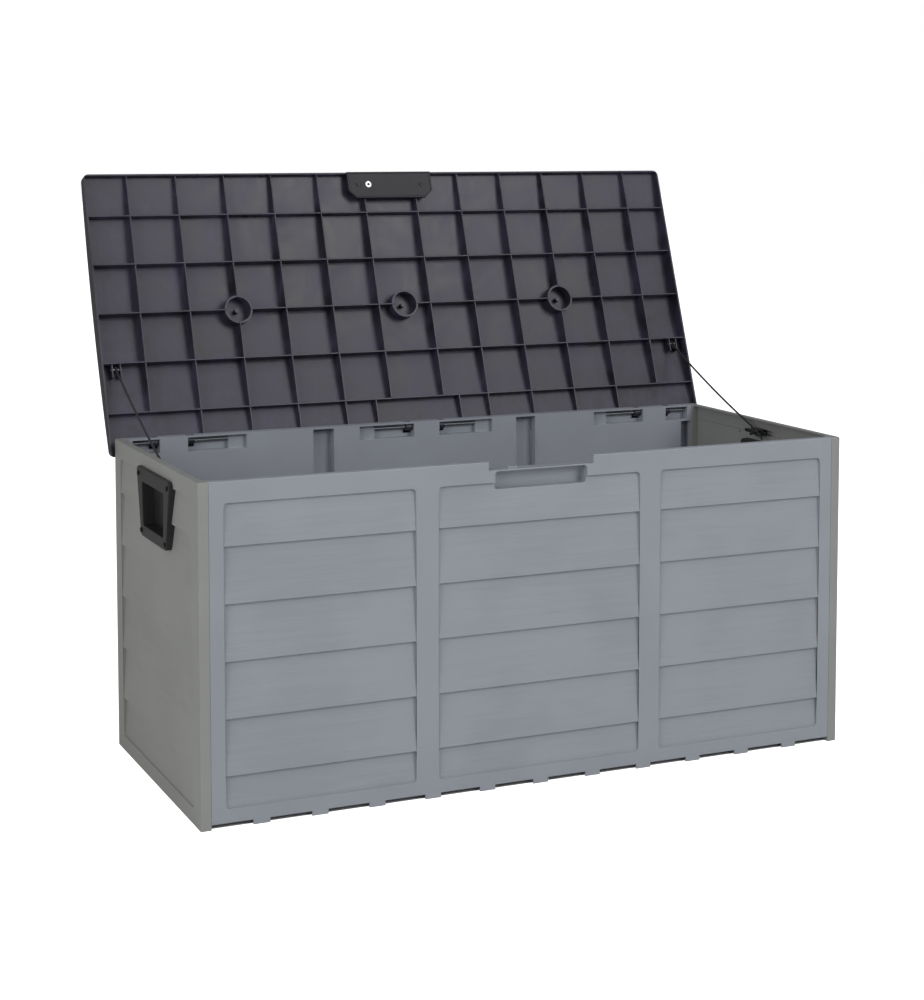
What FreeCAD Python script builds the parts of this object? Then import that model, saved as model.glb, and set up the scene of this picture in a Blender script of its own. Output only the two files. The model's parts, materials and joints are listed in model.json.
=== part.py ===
import FreeCAD, Part
import os

# Deck storage box with a lid that swings up on three rear hinges. Millimetres, +Z up, +X to the
# right as seen from the front, +Y to the back. The origin is on the ground under the centre of the
# box. The box is drawn with its lid open, resting on its two stay cords.

# ---- overall sizes ----
BOX_WIDTH = 1103.0
BOX_DEPTH = 474.0
BOX_HEIGHT = 514.0
LID_EAVE_SIDE = 8.5        # the lid's edge beyond the box at each end
LID_EAVE_FRONT = 8.0
LID_EAVE_REAR = 8.0
LID_OVERLAP = 2.0          # the shut lid's skirt hangs this far below the box's rim
LID_OPEN_ANGLE = 110.0

# ---- moulded walls ----
WALL = 3.2
END_THICKNESS = 16.5       # width of an end panel's corner posts, seen from the front
POST_DEPTH = 22.0          # the same posts, seen from the side
RIM_WIDTH = 12.0           # flange along the top of each wall
FIT = 0.3                  # gap between pieces that slide together
PANEL_FOOT = 8.0           # bottom edge of the front and back panels above the ground
LEDGE_WIDTH = 18.0         # flange along the bottom of each wall, which carries the floor

# ---- slatted fields: overlapping boards, each leaning out towards its lower edge ----
BOARD_LIP = 1.0            # depth of a board's lower edge behind the frame's face
BOARD_DEEP = 6.5           # depth of a board's upper edge
FIELD_CORNER = 6.0
FRONT_BOARD = 85.0
FRONT_FIELD_DROP = 33.0    # top of the boards below the rim
FRONT_FIELD_BOTTOM = 29.0
FRONT_EDGE_DROP = 96.5     # lower edge of the topmost board below the rim
CENTRE_FIELD_HALF = 173.5
STILE = 37.5
OUTER_STILE = 22.5
END_BOARD = 85.5
END_FIELD_DROP = 29.0
END_FIELD_BOTTOM = 25.0
END_EDGE_DROP = 84.5
END_STILE = 36.0

# ---- front edge: notch for the lid's latch plate, and finger pocket under it ----
NOTCH_HALF = 90.0
NOTCH_DEPTH = 13.5
POCKET_HALF = 79.0
POCKET_HEIGHT = 28.0
POCKET_DEPTH = 20.0
POCKET_ROOF = 2.3
POCKET_CORNER = 5.0

# ---- feet under the long panels ----
FOOT_PITCH = 91.6
FOOT_WIDTH = 26.0
FOOT_LIFT = 0.5

# ---- hinges ----
HINGE_SPACING = 456.0
HINGE_INSET = 8.6          # hinge axis in front of the box's back face
HINGE_DROP = 9.7           # hinge axis below the rim
PIN_RADIUS = 2.5
RUNNING_FIT = 0.05
SEAT_FIT = 0.02
KNUCKLE_RADIUS = 6.5
KNUCKLE_WIDTH = 48.0
ARM_WIDTH = 12.0
ARM_WEB = 10.0             # thickness of an arm above its knuckle
ARM_GAP = 1.0
ARM_SLOT_SIDE = 1.5
ARM_SLOT_DEPTH = 11.3      # slot in the back wall below the hinge axis
RAIL_DEPTH = 20.0          # back wall from its outer face to the flush inner skin
RAIL_HEIGHT = 30.0
RAIL_POCKET_LONG = 102.0
RAIL_POCKET_SHORT = 46.0
RAIL_POCKET_DEEP = 72.0    # part of a long pocket that the pin crosses; the rest is shallow
RAIL_POCKET_SHALLOW = 8.0
RAIL_POCKET_HEIGHT = 23.0
RAIL_POCKET_WALL = 2.5
SKIN = 2.4                 # inner skin of the back wall
SKIN_LIFT = 1.0            # lower edge of the skin above the floor
BEAD = (2.6, 0.9)          # width and rise of the bead along each edge of a skin panel

# ---- lid ----
LID_WALL = 3.0
SKIRT_WALL = 3.2
CROWN_FRONT = 16.0         # height of the lid's top above the skirt's lower edge
CROWN_MIDDLE = 28.0
CROWN_REAR = 12.0
LID_CORNER = 10.0
RIB = 2.2
RIB_SEAT = 0.3             # gap between the cross ribs and the rim when the lid is shut
RIB_STEP = 0.4             # the long ribs end this much higher, and the ring bosses twice as much
RIB_X_FIRST = 50.0
RIB_X_PITCH = 86.8
RIB_X_EDGE = 40.0          # least gap between the outermost long ribs and the lid's ends
RIB_Y_FRONT = 74.5         # first cross rib behind the lid's front edge
RIB_Y_PITCH = 86.0
RIB_Y_EDGE = 20.0          # least gap between the last cross rib and the ribs' rear ends
RIB_AXIS_GAP = 10.0        # the ribs stop this far in front of the hinge axis
FLANK_RIB_X = 80.0
BOSS_RIB = 3               # the outer ring bosses stand on this rib, counted from the middle
BOSS_RADIUS = 25.0
BOSS_BORE = 21.5
BOSS_PIP = 4.0
BOSS_PIP_RISE = 11.0       # end of the pip above the ribs' edges

# ---- latch plate under the lid's front edge ----
LATCH_HALF = 81.5
LATCH_LENGTH = 49.5
LATCH_THICKNESS = 3.0
LATCH_DROP = 4.0           # underside of the plate below the skirt's lower edge
LATCH_RIM = 3.0
LATCH_RECESS = 1.4         # depth of the plate's face below its rim
LATCH_CORNER = 14.0
LATCH_SCREW_X = 61.0
LATCH_SCREW_Y = 23.5       # behind the lid's front edge
LATCH_HOLE_X = -42.0
LATCH_HOLE_RADIUS = 4.0
BUSH_FLANGE_RADIUS = 5.6   # flanged bush in the latch plate's hole
BUSH_FLANGE = 1.0
BUSH_BORE = 2.2
SCREW_BOSS_RADIUS = 5.0
SCREW_RADIUS = 1.8
SCREW_HEAD_RADIUS = 3.8
SCREW_HEAD = 2.0
SCREW_LENGTH = 12.0

# ---- carrying handles ----
HANDLE_Y = -18.0           # middle of each handle, towards the front
HANDLE_PROUD = 6.5
HANDLE_DROP = 19.0         # top of a handle below the rim
HANDLE_HEIGHT = 108.0
HANDLE_TOP_HALF = 94.0
HANDLE_BOTTOM_HALF = 70.0
HANDLE_CORNER = 8.0
GRIP_DROP = 22.0           # top of the grip opening below the handle's top
GRIP_HEIGHT = 68.0
GRIP_TOP_HALF = 62.0
GRIP_BOTTOM_HALF = 57.0
GRIP_CORNER = 6.0
GRIP_DEPTH = 20.0
CUP_WALL = 2.5
GRIP_SLOT = (2.5, 16.0)
GRIP_SLOT_U = (24.0, 34.0, 44.0, 54.0)
HANDLE_SCREW_UP = (81.0, 11.0)      # from the middle, and below the handle's top
HANDLE_SCREW_DOWN = (66.0, 99.0)

# ---- stay cords ----
CORD_RADIUS = 1.75
CORD_GAP = 0.4
ANCHOR_INSET = 17.5        # cord pins inside the box's ends
ANCHOR_BEHIND_RIB = 10.0   # pin behind the fourth cross rib
ANCHOR_RISE = 8.0          # pin above the ribs' edges
ANCHOR_PIN_RADIUS = 2.5
ANCHOR_RIB_GAP = 14.0
ANCHOR_RIB_LENGTH = 24.0
CLEAT_Y = -8.0
CLEAT_BELOW_RIM = 21.0     # middle of the bar
CLEAT_BASE = (28.0, 8.0, 4.0)
CLEAT_BAR = (66.0, 6.0, 5.0)
CLEAT_POST = 4.0
CLEAT_STAND = 9.0

# ---- floor ----
FLOOR_TOP = 24.0
FLOOR_RIB_PITCH = 130.0
FLOOR_RIB_FOOT = 2.0       # lower edges of the ribs above the ground
FLOOR_PAD_HALF = 30.0      # half width of the middle pad, which stands on the ground

# ---- places worked out from the sizes ----
HALF_W = BOX_WIDTH / 2
HALF_D = BOX_DEPTH / 2
PANEL_HALF = HALF_W - END_THICKNESS
AXIS_Y = HALF_D - HINGE_INSET
AXIS_Z = BOX_HEIGHT - HINGE_DROP
LID_HALF = HALF_W + LID_EAVE_SIDE
LID_FRONT = -HALF_D - LID_EAVE_FRONT
LID_REAR = HALF_D + LID_EAVE_REAR
FRONT_FIELD_TOP = BOX_HEIGHT - FRONT_FIELD_DROP
FRONT_FIRST_EDGE = BOX_HEIGHT - FRONT_EDGE_DROP
END_FIELD_TOP = BOX_HEIGHT - END_FIELD_DROP
END_FIRST_EDGE = BOX_HEIGHT - END_EDGE_DROP
HANDLE_TOP = BOX_HEIGHT - HANDLE_DROP
HANDLE_BOTTOM = HANDLE_TOP - HANDLE_HEIGHT
GRIP_TOP = HANDLE_TOP - GRIP_DROP
GRIP_BOTTOM = GRIP_TOP - GRIP_HEIGHT
ANCHOR_X = HALF_W - ANCHOR_INSET
RIB_BOTTOM = BOX_HEIGHT + RIB_SEAT
SKIRT_BOTTOM = BOX_HEIGHT - LID_OVERLAP
RIB_REAR = AXIS_Y - RIB_AXIS_GAP
LATCH_BOTTOM = SKIRT_BOTTOM - LATCH_DROP
LATCH_SEAT = LATCH_BOTTOM + LATCH_THICKNESS
LATCH_FACE = LATCH_BOTTOM + LATCH_RECESS
HINGE_CENTRES = {"left": -HINGE_SPACING, "centre": 0.0, "right": HINGE_SPACING}
RIB_X_COUNT = 1 + int((LID_HALF - RIB_X_EDGE - RIB_X_FIRST) / RIB_X_PITCH)
RIB_X = [RIB_X_FIRST + RIB_X_PITCH * k for k in range(RIB_X_COUNT)]
RIB_Y_FIRST = LID_FRONT + RIB_Y_FRONT
RIB_Y_COUNT = 1 + int((RIB_REAR - RIB_Y_EDGE - RIB_Y_FIRST) / RIB_Y_PITCH)
RIB_Y = [RIB_Y_FIRST + RIB_Y_PITCH * k for k in range(RIB_Y_COUNT)]
ARM_OFFSET = KNUCKLE_WIDTH / 2 + ARM_GAP + ARM_WIDTH / 2
RAIL_POCKET_LOW = BOX_HEIGHT - WALL - RAIL_POCKET_HEIGHT
V = FreeCAD.Vector
X_AXIS = V(1, 0, 0)
Y_AXIS = V(0, 1, 0)
Z_AXIS = V(0, 0, 1)


def block(x0, x1, y0, y1, z0, z1):
    """A box between two corners, given low and high along each axis."""
    return Part.makeBox(x1 - x0, y1 - y0, z1 - z0, V(x0, y0, z0))


def prism(points, direction):
    """A closed outline of corner points, swept along a vector."""
    wire = Part.makePolygon(points + [points[0]])
    return Part.Face(wire).extrude(direction)


def rounded_prism(points, radius, direction):
    """A swept outline with every edge along the sweep rounded."""
    solid = prism(points, direction)
    along = direction.normalize()
    edges = []
    for edge in solid.Edges:
        if abs(edge.tangentAt(edge.FirstParameter).dot(along)) > 0.999:
            edges.append(edge)
    return solid.makeFillet(radius, edges)


def join(solids):
    """One solid from several that meet."""
    return solids[0].multiFuse(solids[1:]).removeSplitter()


def wall_outline(half_top, half_bottom, z_low, z_high, depth):
    """Corners of an upright trapezium at a depth behind a panel's face."""
    return [
        V(-half_bottom, depth, z_low),
        V(half_bottom, depth, z_low),
        V(half_top, depth, z_high),
        V(-half_top, depth, z_high),
    ]


# ---- wall panels, drawn with their outer face on Y = 0 and their thickness along +Y ----

def board_profile(top, bottom, first_edge, pitch, offset):
    """Depth and height of the boards' face from top to bottom, moved in by offset."""
    slope = (BOARD_DEEP - BOARD_LIP) / pitch
    start = top + offset
    end = bottom - offset
    points = [(BOARD_LIP + slope * (top - first_edge) + offset, start)]
    edge = first_edge
    while edge > bottom:
        points.append((BOARD_LIP + slope * offset + offset, edge + offset))
        points.append((BOARD_DEEP + offset, edge + offset))
        last = edge
        edge -= pitch
    points.append((BOARD_DEEP - slope * (last - bottom) + offset, end))
    return points


def board_solid(u0, u1, top, bottom, first_edge, pitch, offset, face):
    """Everything from the panel's face back to the boards, or to their inner side."""
    profile = board_profile(top, bottom, first_edge, pitch, offset)
    outline = [V(u0 - offset, face, profile[0][1])]
    for depth, height in profile:
        outline.append(V(u0 - offset, depth, height))
    outline.append(V(u0 - offset, face, profile[-1][1]))
    return prism(outline, V(u1 - u0 + 2 * offset, 0, 0))


def slatted_field(u0, u1, top, bottom, first_edge, pitch):
    """The tray of boards that fills one field, and the hollow in front of it."""
    tray = board_solid(u0, u1, top, bottom, first_edge, pitch, WALL, 0.0)
    hollow = board_solid(u0, u1, top, bottom, first_edge, pitch, 0.0, -1.0)
    corners = [V(u0, -2, bottom), V(u1, -2, bottom), V(u1, -2, top), V(u0, -2, top)]
    window = rounded_prism(corners, FIELD_CORNER, V(0, BOARD_DEEP + 4, 0))
    return tray, hollow.common(window)


def field_spans():
    """Left, middle and right field of a long panel, as ranges along it."""
    inner = CENTRE_FIELD_HALF + STILE
    outer = PANEL_HALF - OUTER_STILE
    return (-outer, -inner), (-CENTRE_FIELD_HALF, CENTRE_FIELD_HALF), (inner, outer)


def long_panel_fields():
    fields = []
    for u0, u1 in field_spans():
        field = slatted_field(u0, u1, FRONT_FIELD_TOP, FRONT_FIELD_BOTTOM, FRONT_FIRST_EDGE, FRONT_BOARD)
        fields.append(field)
    return fields


def tongue_span():
    """Depth range of the tongue and groove that lock a long panel to an end panel."""
    return POST_DEPTH * 0.25, POST_DEPTH * 0.65


def long_panel_blank():
    """Solids of a long panel: sheet, rim, ledge, end returns with their tongues, and feet."""
    low, high = tongue_span()
    half = PANEL_HALF
    solids = [
        block(-half, half, 0, WALL, PANEL_FOOT, BOX_HEIGHT),
        block(-half, half, 0, RIM_WIDTH, BOX_HEIGHT - WALL, BOX_HEIGHT),
        block(-half, half, 0, LEDGE_WIDTH, PANEL_FOOT, PANEL_FOOT + WALL),
    ]
    for side in (-1, 1):
        inner = side * (half - WALL)
        outer = side * half
        tip = side * (half + END_THICKNESS / 2 - FIT)
        solids.append(block(min(inner, outer), max(inner, outer), 0, LEDGE_WIDTH, PANEL_FOOT, BOX_HEIGHT))
        solids.append(block(min(inner, tip), max(inner, tip), low + FIT, high - FIT,
                            PANEL_FOOT + FIT, BOX_HEIGHT - WALL - FIT))
    reach = int((half - FOOT_WIDTH) // FOOT_PITCH)
    for k in range(-reach, reach + 1):
        centre = k * FOOT_PITCH
        solids.append(block(centre - FOOT_WIDTH / 2, centre + FOOT_WIDTH / 2, 0, WALL,
                            FOOT_LIFT, PANEL_FOOT + WALL))
    return solids


def place_front(shape):
    moved = shape.copy()
    moved.translate(V(0, -HALF_D, 0))
    return moved


def place_back(shape):
    moved = shape.copy()
    moved.rotate(V(0, 0, 0), Z_AXIS, 180)
    moved.translate(V(0, HALF_D, 0))
    return moved


def place_end(shape, side):
    """Turn a panel drawn on Y = 0 to the left (-1) or the right (+1) end of the box."""
    moved = shape.copy()
    moved.rotate(V(0, 0, 0), Z_AXIS, 90 * side)
    moved.translate(V(side * HALF_W, 0, 0))
    return moved


def front_panel():
    fields = long_panel_fields()
    solids = long_panel_blank() + [tray for tray, hollow in fields]
    notch_floor = BOX_HEIGHT - NOTCH_DEPTH
    pocket_top = notch_floor - POCKET_ROOF
    pocket_low = pocket_top - POCKET_HEIGHT
    lip = block(-NOTCH_HALF, NOTCH_HALF, 0, RIM_WIDTH, pocket_top, notch_floor)
    cup = block(-POCKET_HALF - WALL, POCKET_HALF + WALL, 0, POCKET_DEPTH + WALL,
                pocket_low - WALL, notch_floor)
    sill_tab = block(-55, -38, RIM_WIDTH - 4, RIM_WIDTH, notch_floor - 1, notch_floor + 3)
    panel = join(solids + [lip, cup])
    for tray, hollow in fields:
        panel = panel.cut(hollow)
    panel = panel.cut(block(-NOTCH_HALF, NOTCH_HALF, -1, 2 * POCKET_DEPTH, notch_floor, BOX_HEIGHT + 1))
    corners = [
        V(-POCKET_HALF, -1, pocket_low),
        V(POCKET_HALF, -1, pocket_low),
        V(POCKET_HALF, -1, pocket_top),
        V(-POCKET_HALF, -1, pocket_top),
    ]
    pocket = rounded_prism(corners, POCKET_CORNER, V(0, POCKET_DEPTH + 1, 0))
    return place_front(panel.cut(pocket).fuse(sill_tab).removeSplitter())


def hinge_pockets(centre):
    """For the two rail pockets beside a hinge: side, near end, end of the deep part, far end.

    The pocket towards an end of the box is short and deep all along.
    """
    pockets = []
    for side in (-1, 1):
        near = centre + side * KNUCKLE_WIDTH / 2
        if centre * side > 0:
            deep = near + side * RAIL_POCKET_SHORT
            far = deep
        else:
            deep = near + side * RAIL_POCKET_DEEP
            far = near + side * RAIL_POCKET_LONG
        pockets.append((side, near, deep, far))
    return pockets


def pin_span(centre):
    """Ends of a hinge pin, seated just past the deep parts of the pockets that it crosses."""
    ends = [deep + side * RAIL_POCKET_WALL for side, near, deep, far in hinge_pockets(centre)]
    return ends[0], ends[1]


def span_block(a, b, y0, y1, z0, z1):
    """A box whose two ends along X may be given in either order."""
    return block(min(a, b), max(a, b), y0, y1, z0, z1)


def back_skin():
    """Flush inner skin between the channels behind the stiles, and the rail above it."""
    low = FLOOR_TOP + SKIN_LIFT
    width, rise = BEAD
    solids = [
        block(-PANEL_HALF, PANEL_HALF, 0, RAIL_DEPTH, BOX_HEIGHT - WALL, BOX_HEIGHT),
    ]
    for u0, u1 in field_spans():
        solids.append(block(u0, u1, RAIL_DEPTH - SKIN, RAIL_DEPTH, low, BOX_HEIGHT))
        for edge, inward in ((u0, 1), (u1, -1)):
            solids.append(span_block(edge, edge + inward * SKIN, 0, RAIL_DEPTH, low, BOX_HEIGHT))
            solids.append(span_block(edge, edge + inward * width, RAIL_DEPTH - SKIN, RAIL_DEPTH + rise,
                                     low, RAIL_POCKET_LOW - 2 * RAIL_POCKET_WALL))
    for side in (-1, 1):
        solids.append(span_block(side * (PANEL_HALF - OUTER_STILE), side * PANEL_HALF,
                                 RAIL_DEPTH - SKIN, RAIL_DEPTH, BOX_HEIGHT - RAIL_HEIGHT, BOX_HEIGHT))
    return solids


def back_panel():
    """Back wall with a hinge rail along its top edge."""
    fields = long_panel_fields()
    edge = RAIL_POCKET_WALL
    roof = BOX_HEIGHT - WALL
    solids = long_panel_blank() + back_skin() + [tray for tray, hollow in fields]
    cuts = [hollow for tray, hollow in fields]
    bores = []
    knuckles = []
    for centre in HINGE_CENTRES.values():
        for side, near, deep, far in hinge_pockets(centre):
            solids.append(span_block(near - side * edge, far + side * edge, 0, RAIL_DEPTH,
                                     RAIL_POCKET_LOW - edge, BOX_HEIGHT))
            cuts.append(span_block(near, deep, WALL, RAIL_DEPTH + 1, RAIL_POCKET_LOW, roof))
            if far != deep:
                cuts.append(span_block(near, far, RAIL_DEPTH - RAIL_POCKET_SHALLOW, RAIL_DEPTH + 1,
                                       RAIL_POCKET_LOW, roof))
            slot_end = near + side * (ARM_GAP + ARM_WIDTH + ARM_SLOT_SIDE)
            cuts.append(span_block(near, slot_end, -1, HINGE_INSET + KNUCKLE_RADIUS + 1,
                                   AXIS_Z - ARM_SLOT_DEPTH, BOX_HEIGHT + 1))
        low, high = pin_span(centre)
        start = V(low, HINGE_INSET, AXIS_Z)
        bores.append(Part.makeCylinder(PIN_RADIUS + SEAT_FIT, high - low, start, X_AXIS))
        knuckles.append(block(centre - KNUCKLE_WIDTH / 2, centre + KNUCKLE_WIDTH / 2, 0, RAIL_DEPTH,
                              RAIL_POCKET_LOW, BOX_HEIGHT))
    panel = join(solids).cut(cuts).multiFuse(knuckles).cut(bores)
    return place_back(panel.removeSplitter())


def end_field():
    half = HALF_D - END_STILE
    return slatted_field(-half, half, END_FIELD_TOP, END_FIELD_BOTTOM, END_FIRST_EDGE, END_BOARD)


def grip_outline(extra, depth):
    """Outline of a handle's grip opening, grown by extra on every side."""
    return wall_outline(GRIP_TOP_HALF + extra, GRIP_BOTTOM_HALF + extra,
                        GRIP_BOTTOM - extra, GRIP_TOP + extra, depth)


def place_handle(shape, side):
    """Move a piece drawn round U = 0 to the handle's place on an end panel."""
    moved = shape.copy()
    moved.translate(V(side * HANDLE_Y, 0, 0))
    return place_end(moved, side)


def end_panel(side):
    """End wall: sheet, slatted field, rim, two posts with grooves, floor ledge, handle opening."""
    tray, hollow = end_field()
    low, high = tongue_span()
    solids = [
        block(-HALF_D, HALF_D, 0, WALL, 0, BOX_HEIGHT),
        block(-HALF_D, HALF_D, 0, RIM_WIDTH, BOX_HEIGHT - WALL, BOX_HEIGHT),
        block(-HALF_D, HALF_D, 0, END_THICKNESS, PANEL_FOOT, PANEL_FOOT + WALL),
        tray,
    ]
    for end in (-1, 1):
        inner = end * (HALF_D - POST_DEPTH)
        outer = end * HALF_D
        solids.append(block(min(inner, outer), max(inner, outer), 0, END_THICKNESS, 0, BOX_HEIGHT))
    grooves = []
    for end in (-1, 1):
        near = end * (HALF_D - low)
        far = end * (HALF_D - high)
        grooves.append(block(min(near, far), max(near, far), END_THICKNESS / 2, END_THICKNESS + 1,
                             PANEL_FOOT, BOX_HEIGHT - WALL))
    grip = rounded_prism(grip_outline(CUP_WALL + FIT, -1), GRIP_CORNER + CUP_WALL, V(0, END_THICKNESS + 2, 0))
    openings = [grip] + [handle_screw_bore(u, z) for u, z in handle_screw_places()]
    for opening in openings:
        opening.translate(V(side * HANDLE_Y, 0, 0))
    panel = join(solids).cut([hollow] + grooves).cut(openings)
    return place_end(panel.removeSplitter(), side)


def handle_screw_places():
    places = []
    for u, drop in (HANDLE_SCREW_UP, HANDLE_SCREW_DOWN):
        places += [(-u, HANDLE_TOP - drop), (u, HANDLE_TOP - drop)]
    return places


def handle_screw_bore(u, z):
    length = HANDLE_PROUD + END_THICKNESS
    return Part.makeCylinder(SCREW_RADIUS + FIT, length, V(u, -HANDLE_PROUD, z), Y_AXIS)


def handle(side):
    """Recessed carrying handle: a frame on the panel's face and a cup through it."""
    outline = wall_outline(HANDLE_TOP_HALF, HANDLE_BOTTOM_HALF, HANDLE_BOTTOM, HANDLE_TOP, -HANDLE_PROUD)
    frame = rounded_prism(outline, HANDLE_CORNER, V(0, HANDLE_PROUD + BOARD_DEEP, 0))
    tray, hollow = end_field()
    outside = block(-HALF_D, HALF_D, -HANDLE_PROUD - 1, 0, 0, BOX_HEIGHT)
    frame = frame.common(outside.fuse(hollow))
    cup_floor = GRIP_DEPTH - HANDLE_PROUD
    cup = rounded_prism(grip_outline(CUP_WALL, -HANDLE_PROUD), GRIP_CORNER + CUP_WALL,
                        V(0, GRIP_DEPTH + CUP_WALL, 0))
    grip = rounded_prism(grip_outline(0, -HANDLE_PROUD - 1), GRIP_CORNER, V(0, GRIP_DEPTH + 1, 0))
    width, height = GRIP_SLOT
    cuts = [grip]
    for end in (-1, 1):
        for place in GRIP_SLOT_U:
            centre = end * place
            cuts.append(block(centre - width / 2, centre + width / 2, cup_floor - 1, cup_floor + CUP_WALL + 1,
                              GRIP_TOP - 10 - height, GRIP_TOP - 10))
    cuts += [handle_screw_bore(u, z) for u, z in handle_screw_places()]
    return place_handle(frame.fuse(cup).cut(cuts).removeSplitter(), side)


def screw(point, direction):
    """Pan-head screw; point is on the face under its head, direction runs into the hole."""
    shank = Part.makeCylinder(SCREW_RADIUS, SCREW_LENGTH, point, direction)
    head = Part.makeCylinder(SCREW_HEAD_RADIUS, SCREW_HEAD, point - direction * SCREW_HEAD, direction)
    slot = SCREW_HEAD_RADIUS * 0.9
    drive = block(-slot / 2, slot / 2, -0.4, 0.4, -0.1, SCREW_HEAD / 2)
    cross = drive.fuse(block(-0.4, 0.4, -slot / 2, slot / 2, -0.1, SCREW_HEAD / 2))
    cross.Placement = FreeCAD.Placement(point - direction * SCREW_HEAD, FreeCAD.Rotation(Z_AXIS, direction))
    return shank.fuse(head).cut(cross).removeSplitter()


def handle_screws(side):
    screws = []
    for u, z in handle_screw_places():
        screws.append(place_handle(screw(V(u, -HANDLE_PROUD, z), Y_AXIS), side))
    return Part.makeCompound(screws)


def floor_panel():
    """Ribbed floor that stands on the ledges of the four walls."""
    board_back = BOARD_DEEP + WALL + FIT
    half_x = HALF_W - board_back
    half_y = HALF_D - board_back
    seat = PANEL_FOOT + WALL
    plate = block(-half_x, half_x, -half_y, half_y, FLOOR_TOP - WALL, FLOOR_TOP)
    ring = block(-half_x, half_x, -half_y, half_y, seat, FLOOR_TOP).cut(
        block(-half_x + WALL, half_x - WALL, -half_y + WALL, half_y - WALL, 0, FLOOR_TOP))
    solids = [plate, ring]
    rib_x = HALF_W - END_THICKNESS - FIT
    rib_y = HALF_D - LEDGE_WIDTH - FIT
    count = int(rib_x // FLOOR_RIB_PITCH)
    for k in range(-count, count + 1):
        centre = k * FLOOR_RIB_PITCH
        solids.append(block(centre - RIB / 2, centre + RIB / 2, -rib_y, rib_y, FLOOR_RIB_FOOT, FLOOR_TOP))
    for y in (-rib_y / 2, 0, rib_y / 2):
        solids.append(block(-rib_x, rib_x, y - RIB / 2, y + RIB / 2, FLOOR_RIB_FOOT, FLOOR_TOP))
    pad = FLOOR_PAD_HALF
    solids.append(block(-pad, pad, -pad, pad, 0, FLOOR_TOP))
    corners = []
    for sx in (-1, 1):
        for sy in (-1, 1):
            x0 = sx * (PANEL_HALF - WALL - FIT)
            y0 = sy * (HALF_D - POST_DEPTH - FIT)
            corners.append(block(min(x0, sx * HALF_W), max(x0, sx * HALF_W),
                                 min(y0, sy * HALF_D), max(y0, sy * HALF_D), 0, FLOOR_TOP + 1))
    return join(solids).cut(corners).removeSplitter()


# ---- lid, drawn shut and then swung open ----

def swing_open(shape):
    moved = shape.copy()
    moved.rotate(V(0, AXIS_Y, AXIS_Z), X_AXIS, -LID_OPEN_ANGLE)
    return moved


def anchor_point():
    """Middle of the cord pin on the shut lid, for a cord at X = 0."""
    return V(0, RIB_Y[3] + ANCHOR_BEHIND_RIB, RIB_BOTTOM + ANCHOR_RISE)


def under_crown(half_width, front, rear, low, drop):
    """Everything from a level up to the lid's crowned top, or to a surface below it by drop."""
    def crown(y, height):
        return V(-half_width, y, SKIRT_BOTTOM + height - drop)

    start = crown(front, CROWN_FRONT)
    finish = crown(rear, CROWN_REAR)
    arc = Part.Arc(start, crown(0, CROWN_MIDDLE), finish).toShape()
    floor_front = V(-half_width, front, low)
    floor_rear = V(-half_width, rear, low)
    sides = [
        Part.makeLine(finish, floor_rear),
        Part.makeLine(floor_rear, floor_front),
        Part.makeLine(floor_front, start),
    ]
    return Part.Face(Part.Wire([arc] + sides)).extrude(V(2 * half_width, 0, 0))


def lid_core():
    """The room that ribs and bosses may fill: up to the middle of the lid's sheet."""
    return under_crown(LID_HALF - SKIRT_WALL / 2, LID_FRONT + SKIRT_WALL / 2, LID_REAR, 0, LID_WALL / 2)


def lid_hollow():
    """The space under the lid's sheet, open towards the rear."""
    return under_crown(LID_HALF - SKIRT_WALL, LID_FRONT + SKIRT_WALL, LID_REAR + 1, SKIRT_BOTTOM - 1, LID_WALL)


def lid_shell():
    """Crowned sheet with a skirt on its front and two sides."""
    outer = under_crown(LID_HALF, LID_FRONT, LID_REAR, SKIRT_BOTTOM, 0)
    uprights = [e for e in outer.Edges if e.BoundBox.XLength < 0.01 and e.BoundBox.YLength < 0.01]
    return outer.makeFillet(LID_CORNER, uprights).cut(lid_hollow())


def lid_ribs():
    half = LID_HALF
    top = SKIRT_BOTTOM + CROWN_MIDDLE
    long_low = RIB_BOTTOM + RIB_STEP
    solids = []
    for y in RIB_Y:
        solids.append(block(-half, half, y - RIB / 2, y + RIB / 2, RIB_BOTTOM, top))
    for side in (-1, 1):
        for x in RIB_X:
            rear = RIB_Y[-1] if x in (RIB_X[0], RIB_X[-1]) else RIB_REAR
            centre = side * x
            solids.append(block(centre - RIB / 2, centre + RIB / 2, LID_FRONT, rear, long_low, top))
        flank = side * FLANK_RIB_X
        solids.append(block(flank - RIB / 2, flank + RIB / 2, RIB_Y[-1], RIB_REAR, long_low, top))
    return solids


def upright(x, y, radius, z0, z1):
    return Part.makeCylinder(radius, z1 - z0, V(x, y, z0), Z_AXIS)


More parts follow.
